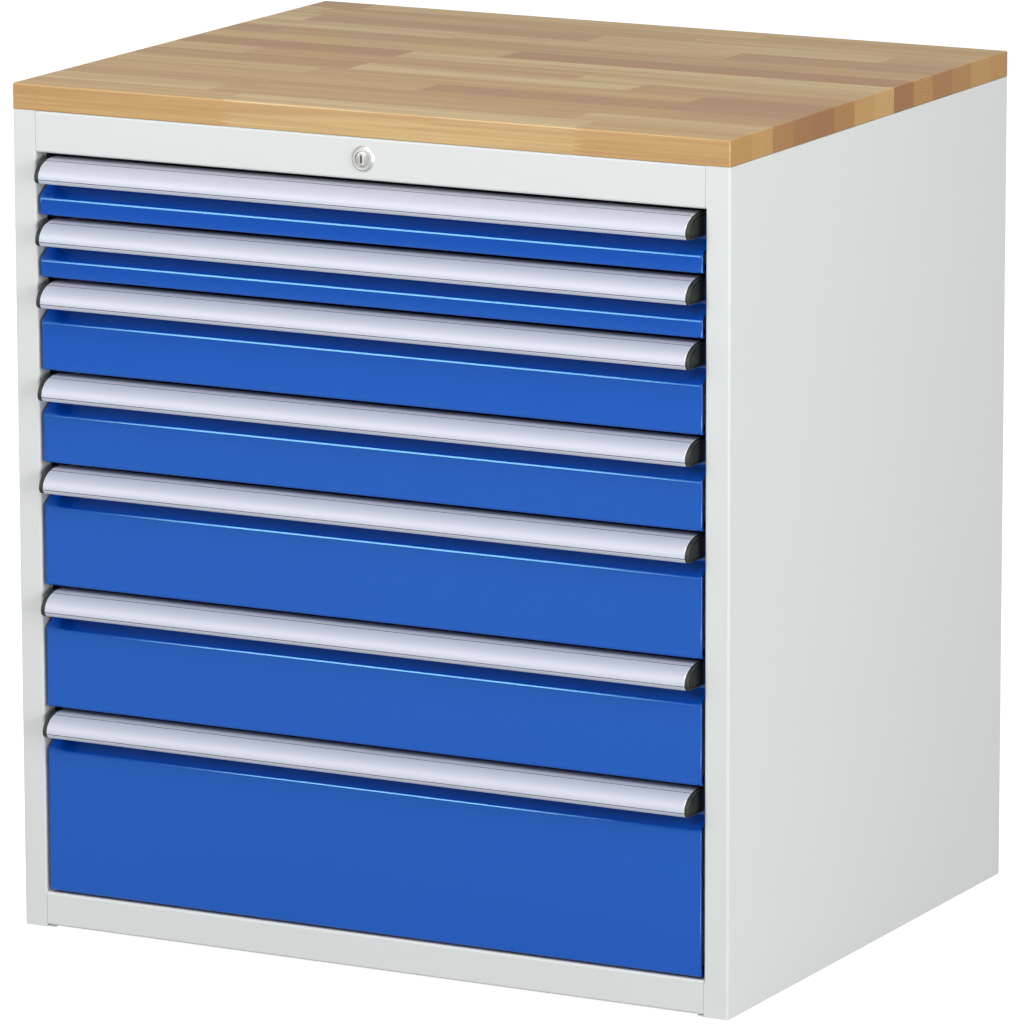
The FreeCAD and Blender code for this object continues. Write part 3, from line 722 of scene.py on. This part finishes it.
class CABINET_OT_make_fronts(bpy.types.Operator):
    """Folds a sheet front for each drawer"""

    bl_idname = "cabinet.make_fronts"
    bl_label = "Make the drawer fronts"

    def execute(self, context):
        sizes = context.scene.cabinet_sizes
        for number in DRAWERS:
            low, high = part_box(f"drawer_{number}_front")
            grip_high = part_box(f"drawer_{number}_grip")[1].z
            skin = sizes.front_sheet
            wall = low.y + sizes.front_recess
            front = start_line(f"front_sheet_{number}", (low.x, wall, grip_high - sizes.strip_wall))
            draw((0, 0, sizes.strip_wall - sizes.ledge_drop))
            draw((0, -sizes.front_recess, sizes.ledge_drop - sizes.face_drop))
            draw((0, 0, low.z - grip_high + sizes.face_drop))
            draw((0, sizes.front_recess + skin, 0))
            bpy.ops.mesh.select_all(action="SELECT")
            draw((high.x - low.x, 0, 0))
            for side in (low.x, high.x):
                corner = Vector((side, low.y))
                pick(front, "EDGE", lambda e: along(e, 2) and (middle_of(e).xy - corner).length < NEAR)
                draw((0, sizes.front_cheek, 0))
            bpy.ops.mesh.select_all(action="SELECT")
            bpy.ops.mesh.remove_doubles(threshold=MERGE)
            bpy.ops.mesh.normals_make_consistent(inside=False)
            ledge_back = Vector((wall, grip_high - sizes.ledge_drop))

            def folded(edge):
                spot = middle_of(edge)
                at_fold = abs(spot.y - low.y) < NEAR or (spot.yz - ledge_back).length < NEAR
                return len(edge.link_faces) == 2 and at_fold

            pick(front, "EDGE", folded)
            bpy.ops.mesh.bevel(offset=sizes.fold, segments=4, affect="EDGES", clamp_overlap=True)
            bpy.ops.object.mode_set(mode="OBJECT")
            apply_modifier(front, "SOLIDIFY", thickness=skin, offset=-1)
            smooth(front)
            dress(front, FINISH["front_paint"], f"drawer_{number}", "front_paint", f"drawer_{number}_front")
        return {"FINISHED"}


class CABINET_OT_make_strips(bpy.types.Operator):
    """Draws the extruded grip strip and its end caps for each drawer"""

    bl_idname = "cabinet.make_strips"
    bl_label = "Make the grip strips"

    def execute(self, context):
        sizes = context.scene.cabinet_sizes
        low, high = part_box("drawer_1_grip")
        front_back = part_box("drawer_1_front")[0].y + sizes.front_recess
        low.x += sizes.cap_lap
        high.x -= sizes.cap_lap
        strip = self.strip(sizes, low, high, front_back)
        caps = self.caps(sizes, low, high, front_back)
        marks = [face.material_index for face in strip.data.polygons]
        for number in DRAWERS:
            drawer = f"drawer_{number}"
            step = (0, 0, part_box(f"{drawer}_grip")[1].z - high.z)
            new_strip = copy_of(strip, f"grip_strip_{number}", step)
            dress(new_strip, FINISH["grip_aluminium"], drawer, "grip_aluminium", f"{drawer}_grip")
            new_strip.data.materials.append(FINISH["groove"])
            new_strip.data.materials.append(FINISH["sawn"])
            new_strip.data.polygons.foreach_set("material_index", marks)
            new_caps = copy_of(caps, f"strip_caps_{number}", step)
            dress(new_caps, FINISH["cap_plastic"], drawer, "cap_plastic", f"{drawer}_grip_caps")
        remove(strip)
        remove(caps)
        return {"FINISHED"}

    def hood(self, name, x, back, sizes, low, high, front_back):
        """The outer line of a strip: level at the top, a quarter of an ellipse, then the curl of the lip."""
        start = front_back - sizes.strip_flat
        tip_z = high.z - sizes.strip_tip_drop
        line = start_line(name, (x, back, high.z))
        draw((0, start - back, 0))
        swing((x, start, tip_z), (1, 0, 0), -90, 18)
        pick(line, "VERT", lambda v: v.co.y < start - NEAR)
        stretch = (start - low.y) / sizes.strip_tip_drop
        bpy.ops.transform.resize(value=(1, stretch, 1), center_override=(x, start, tip_z))
        pick(line, "VERT", lambda v: v.co.y < low.y + NEAR)
        swing((x, low.y + sizes.strip_curl, tip_z), (1, 0, 0), -math.degrees(sizes.strip_curl_angle), 8)
        return line

    def strip(self, sizes, low, high, front_back):
        line = self.hood("grip_strip", low.x, high.y, sizes, low, high, front_back)
        bpy.ops.mesh.select_all(action="SELECT")
        draw((high.x - low.x, 0, 0))
        bpy.ops.mesh.select_all(action="SELECT")
        bpy.ops.mesh.normals_make_consistent(inside=False)
        if max(bmesh.from_edit_mesh(line.data).faces, key=lambda f: f.calc_center_median().z).normal.z < 0:
            bpy.ops.mesh.flip_normals()
        bpy.ops.object.mode_set(mode="OBJECT")
        apply_modifier(line, "SOLIDIFY", thickness=sizes.strip_wall, offset=-1)
        self.round_ends(line, sizes, low, high)
        grooves = self.cut_grooves(line, sizes, low, high, front_back)
        leg_low = (low.x, front_back - sizes.strip_wall, high.z - sizes.strip_leg)
        leg = start_block("strip_leg", leg_low, (high.x, front_back, high.z - sizes.strip_wall / 2))
        edit(leg)
        pick(leg, "EDGE", lambda e: along(e, 0) and middle_of(e).z < high.z - sizes.strip_leg + NEAR)
        bpy.ops.mesh.bevel(offset=0.0004, segments=2, affect="EDGES")
        bpy.ops.object.mode_set(mode="OBJECT")
        whole = join([line, leg], "grip_strip")
        smooth(whole, 35)

        def in_groove(face, spot, run, inward):
            step = (face.center - spot).yz
            deep = 0.0002 < step.dot(inward.yz) < sizes.groove_depth * 0.7
            return deep and abs(step.dot(run.yz)) < sizes.groove

        for face in whole.data.polygons:
            # Faces inside a groove take the darker metal, painted shade
            if any(in_groove(face, *groove) for groove in grooves):
                face.material_index = GROOVE_SHADE_METAL
            # The rounded sawn rims take the brighter metal, partly bare metal and partly a painted highlight
            elif abs(face.center.x) > high.x - sizes.strip_end and 0.15 < abs(face.normal.x) < 0.95:
                face.material_index = SAWN_HIGHLIGHT_METAL
        return whole

    def round_ends(self, strip, sizes, low, high):
        """Rounds the outer rim of both sawn ends."""
        heart = Vector((0, low.y + sizes.strip_flat + sizes.strip_tip_drop, high.z - sizes.strip_tip_drop))

        def outer_rim(edge):
            if len(edge.link_faces) != 2 or abs(middle_of(edge).x) < high.x - NEAR or along(edge, 0):
                return False
            skin = min(edge.link_faces, key=lambda f: abs(f.normal.x))
            spoke = middle_of(edge) - heart
            return abs(skin.normal.x) < 0.5 and skin.normal.y * spoke.y + skin.normal.z * spoke.z > 0

        edit(strip)
        pick(strip, "EDGE", outer_rim)
        bpy.ops.mesh.bevel(offset=sizes.strip_end, segments=3, affect="EDGES")
        bpy.ops.object.mode_set(mode="OBJECT")

    def cut_grooves(self, strip, sizes, low, high, front_back):
        """Fine lines along the outside, one on the hood and one on the lip, and where they lie."""
        grooves = []
        start = front_back - sizes.strip_flat
        reach, drop, curl = start - low.y, sizes.strip_tip_drop, sizes.strip_curl
        tip_z = high.z - drop
        sine, cosine = math.sin(sizes.hood_groove), math.cos(sizes.hood_groove)
        hood_spot = Vector((0, start - reach * sine, tip_z + drop * cosine))
        hood_run = Vector((0, -reach * cosine, -drop * sine)).normalized()
        sine, cosine = math.sin(sizes.lip_groove), math.cos(sizes.lip_groove)
        lip_spot = Vector((0, low.y + curl * (1 - cosine), tip_z - curl * sine))
        lip_run = Vector((0, sine, -cosine))
        for spot, run, share in ((hood_spot, hood_run, 0.8), (lip_spot, lip_run, 1)):
            edit(strip)
            for step in (-sizes.groove, 0, sizes.groove):
                pick(strip, "FACE", lambda f: any((v.co.yz - spot.yz).length < 0.004 for v in f.verts))
                bpy.ops.mesh.bisect(plane_co=spot + run * step, plane_no=run)
            inward = Vector((0, -run.z, run.y))
            if inward.dot(Vector((0, start, tip_z)) - spot) < 0:
                inward = -inward

            def on_line(vertex):
                step = vertex.co - spot
                return abs(step.dot(run)) < 2 * MERGE and step.yz.length < sizes.strip_wall / 3

            pick(strip, "VERT", on_line)
            bpy.ops.transform.translate(value=inward * sizes.groove_depth * share)
            bpy.ops.object.mode_set(mode="OBJECT")
            grooves.append((spot, run, inward))
        return grooves

    def caps(self, sizes, low, high, front_back):
        """A moulded plate for each end, with rounded rims and a sunk field."""
        cap_low, cap_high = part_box("drawer_1_grip_caps")
        line = self.hood("strip_cap", high.x, front_back, sizes, low, high, front_back)
        pick(line, "VERT", lambda v: v.co.z < cap_low.z + MERGE)
        lip = next(v.co.copy() for v in bmesh.from_edit_mesh(line.data).verts if v.select)
        draw((0, front_back - lip.y, 0))
        draw((0, 0, high.z - lip.z))
        bpy.ops.mesh.select_all(action="SELECT")
        bpy.ops.mesh.remove_doubles(threshold=MERGE)
        bpy.ops.mesh.edge_face_add()
        draw((cap_high.x - high.x, 0, 0))
        bpy.ops.mesh.select_all(action="SELECT")
        bpy.ops.mesh.normals_make_consistent(inside=False)
        pick(line, "FACE", lambda f: f.normal.x > 0.99)
        bpy.ops.mesh.inset(thickness=sizes.cap_rim)
        draw((-sizes.cap_rim, 0, 0))
        bpy.ops.mesh.inset(thickness=sizes.cap_rim)
        draw((sizes.cap_rim * 0.6, 0, 0))
        pick(line, "EDGE", lambda e: all(v.co.x > cap_high.x - NEAR for v in e.verts))
        bpy.ops.mesh.bevel(offset=sizes.cap_rim * 0.35, segments=3, affect="EDGES")
        bpy.ops.object.mode_set(mode="OBJECT")
        twin = copy_of(line, "strip_cap_left", (0, 0, 0))
        twin.data.transform(Matrix.Scale(-1, 4, (1, 0, 0)))
        outward(twin)
        outward(line)
        pair = join([line, twin], "strip_caps")
        smooth(pair, 35)
        return pair


class CABINET_OT_make_lock(bpy.types.Operator):
    """Turns the lock's ring and its plug with the raised bar and the keyway"""

    bl_idname = "cabinet.make_lock"
    bl_label = "Make the lock"

    def execute(self, context):
        sizes = context.scene.cabinet_sizes
        low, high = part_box("lock_case")
        middle = Vector((0, low.y, (low.z + high.z) / 2))
        plug_low, plug_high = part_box("lock_plug")
        bore = (plug_high.x - plug_low.x) / 2 + 0.00015
        self.ring(middle, high.x, bore, high.y)
        self.plug(sizes, middle, plug_low, plug_high)
        return {"FINISHED"}

    def turned(self, name, middle, outline):
        """Spins an outline of radii and depths about the axis of the lock."""
        spots = [Vector((radius, middle.y + depth, middle.z)) for radius, depth in outline]
        piece = start_line(name, spots[0])
        for here, there in zip(spots, spots[1:]):
            draw(there - here)
        bpy.ops.mesh.select_all(action="SELECT")
        swing(middle, (0, 1, 0), 360, 72)
        bpy.ops.object.mode_set(mode="OBJECT")
        outward(piece)
        return piece

    def ring(self, middle, radius, bore, back):
        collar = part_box("top_rail")[0].y - middle.y
        body = 0.009
        outline = [
            (bore, collar + 0.006), (bore, 0.0004), (bore + 0.0004, 0.0), (bore + 0.0020, 0.0003),
            (radius - 0.0026, 0.0), (radius - 0.0019, 0.0003), (radius - 0.0003, collar - 0.0004),
            (radius, collar), (body, collar), (body, back - middle.y), (bore, back - middle.y),
            (bore, collar + 0.006),
        ]
        ring = self.turned("lock_ring", middle, outline)
        smooth(ring, 50)
        dress(ring, FINISH["chrome"], "cabinet", "chrome", "lock_case")

    def plug(self, sizes, middle, low, high):
        radius, rim = high.x, high.x - 0.0001
        face, rear = low.y - middle.y + 0.0008, high.y - middle.y
        dome = sizes.lock_dome
        outline = [
            (0.0, face), (radius * 0.5, face + dome * 0.3), (radius * 0.85, face + dome),
            (rim, face + dome + 0.0006), (rim, rear), (0.0, rear),
        ]
        plug = self.turned("lock_plug_face", middle, outline)
        bar_half = Vector((0.0022, 0.0011, 0.0055))
        spot = Vector((0, low.y + bar_half.y, middle.z))
        bar = start_block("lock_bar", spot - bar_half, spot + bar_half)
        edit(bar)
        pick(bar, "EDGE", lambda e: middle_of(e).y < spot.y)
        bpy.ops.mesh.bevel(offset=0.0006, segments=3, affect="EDGES")
        bpy.ops.object.mode_set(mode="OBJECT")
        slot_half = Vector((0.00085, 0.0045, 0.0038))
        slot = start_block("key_slot", spot - slot_half, spot + slot_half)
        for solid in (plug, bar):
            apply_modifier(solid, "BOOLEAN", operation="DIFFERENCE", object=slot, solver="EXACT")
        remove(slot)
        whole = join([plug, bar], "lock_plug_face")
        smooth(whole, 50)
        dress(whole, FINISH["chrome"], "lock", "chrome", "lock_plug")


class CABINET_OT_set_stage(bpy.types.Operator):
    """Lays the floor and sets the lights and the camera"""

    bl_idname = "cabinet.set_stage"
    bl_label = "Set the stage"

    def execute(self, context):
        stage = context.scene.cabinet_stage
        self.lay_floor(stage)
        self.light(context, stage)
        self.aim_camera(context, stage)
        context.scene.view_settings.view_transform = "Standard"
        return {"FINISHED"}

    def lay_floor(self, stage):
        clear_selection()
        bpy.ops.mesh.primitive_plane_add(size=FLOOR_SIZE, location=(0, 0, -FLOOR_GAP))
        floor = bpy.context.object
        floor.name = "studio_floor"
        bpy.ops.object.transform_apply(location=True, rotation=True, scale=True)
        material, tree, shader = new_material("Studio floor", Roughness=0.9, Emission_Color=(1, 1, 1))
        cloud = put(tree, "TexNoise", 0, Vector=place(tree), Scale=2.0, Detail=2.0)
        tone = spread(tree, cloud, 0.3, 0.7, 0.99, 1.01)
        tree.links.new(tint(tree, tone, linear(176, 176, 176)), shader["Base Color"])
        # The camera sees the floor glow to plain white, but little of that glow reaches the cabinet
        seen = put(tree, "LightPath", "Is Camera Ray")
        tree.links.new(calc(tree, "MULTIPLY_ADD", seen, 0.75, stage.floor_glow), shader["Emission Strength"])
        floor.data.materials.append(material)

    def light(self, context, stage):
        """Surroundings that are brighter at eye level than overhead, and four soft boxes."""
        world = bpy.data.worlds.new("Studio")
        context.scene.world = world
        world.use_nodes = True
        tree = world.node_tree
        height = put(tree, "SeparateXYZ", 2, Vector=put(tree, "TexCoord", "Generated"))
        fade = calc(tree, "POWER", calc(tree, "SUBTRACT", 1.0, calc(tree, "MAXIMUM", height, 0.0)), 2.0)
        bright = calc(tree, "MULTIPLY_ADD", fade, stage.horizon - stage.zenith, stage.zenith)
        tree.links.new(bright, tree.nodes["Background"].inputs["Strength"])
        tree.nodes["Background"].inputs["Color"].default_value = (1, 1, 1, 1)
        middle = Vector(LIT_MIDDLE)
        for name, way, reach, width, height, power in (
            ("key_light", (-0.457, -0.754, 0.471), 3.4, 1.05, 1.6, stage.key_power),
            ("top_light", (0.10, -0.50, 0.86), 3.2, 1.6, 1.0, stage.top_power),
            ("side_light", (0.92, -0.33, 0.20), 3.9, 1.6, 2.2, stage.side_power),
            ("back_light", (-0.93, 0.36, 0.05), 3.9, 1.6, 2.2, stage.back_power),
        ):
            clear_selection()
            back = Vector(way).normalized()
            bpy.ops.object.light_add(type="AREA", location=middle + back * reach)
            lamp = bpy.context.object
            lamp.name = name
            lamp.data.shape = "RECTANGLE"
            lamp.data.size = width
            lamp.data.size_y = height
            lamp.data.energy = power
            up = Vector((0, -back.z, back.y)).normalized() * (-1 if back.y < 0 else 1)
            side = up.cross(back).normalized()
            lamp.rotation_euler = Matrix((side, back.cross(side), back)).transposed().to_euler()

    def aim_camera(self, context, stage):
        clear_selection()
        bpy.ops.object.camera_add(location=CAMERA_PLACE)
        camera = bpy.context.object
        camera.name = "photo_camera"
        camera.data.lens = stage.lens
        camera.data.clip_end = CAMERA_REACH
        level = Vector((-math.sin(stage.yaw), math.cos(stage.yaw), 0))
        ahead = level * math.cos(stage.pitch) - Vector((0, 0, math.sin(stage.pitch)))
        right = Vector((math.cos(stage.yaw), math.sin(stage.yaw), 0))
        up = right.cross(ahead)
        tilted_right = right * math.cos(stage.roll) + up * math.sin(stage.roll)
        tilted_up = up * math.cos(stage.roll) - right * math.sin(stage.roll)
        turn = Matrix((tilted_right, tilted_up, -ahead)).transposed()
        camera.rotation_euler = turn.to_euler()
        context.scene.camera = camera


class CABINET_PT_panel(bpy.types.Panel):
    """Lists the steps in the sidebar"""

    bl_idname = "CABINET_PT_panel"
    bl_label = "Drawer cabinet"
    bl_space_type = "VIEW_3D"
    bl_region_type = "UI"
    bl_category = "Cabinet"

    def draw(self, context):
        for step in STEPS:
            self.layout.operator(step.bl_idname)


STEPS = (
    CABINET_OT_coat_parts, CABINET_OT_make_worktop, CABINET_OT_make_sides, CABINET_OT_make_rail,
    CABINET_OT_make_fronts, CABINET_OT_make_strips, CABINET_OT_make_lock, CABINET_OT_set_stage,
)
CLASSES = (CabinetColours, CabinetSizes, CabinetStage, *STEPS, CABINET_PT_panel)


def register():
    for item in CLASSES:
        bpy.utils.register_class(item)
    bpy.types.Scene.cabinet_colours = PointerProperty(type=CabinetColours)
    bpy.types.Scene.cabinet_sizes = PointerProperty(type=CabinetSizes)
    bpy.types.Scene.cabinet_stage = PointerProperty(type=CabinetStage)


def unregister():
    del bpy.types.Scene.cabinet_stage
    del bpy.types.Scene.cabinet_sizes
    del bpy.types.Scene.cabinet_colours
    for item in reversed(CLASSES):
        bpy.utils.unregister_class(item)


def main():
    register()
    for step in STEPS:
        group, name = step.bl_idname.split(".")
        getattr(getattr(bpy.ops, group), name)()
    clear_selection()


if __name__ == "__main__":
    main()
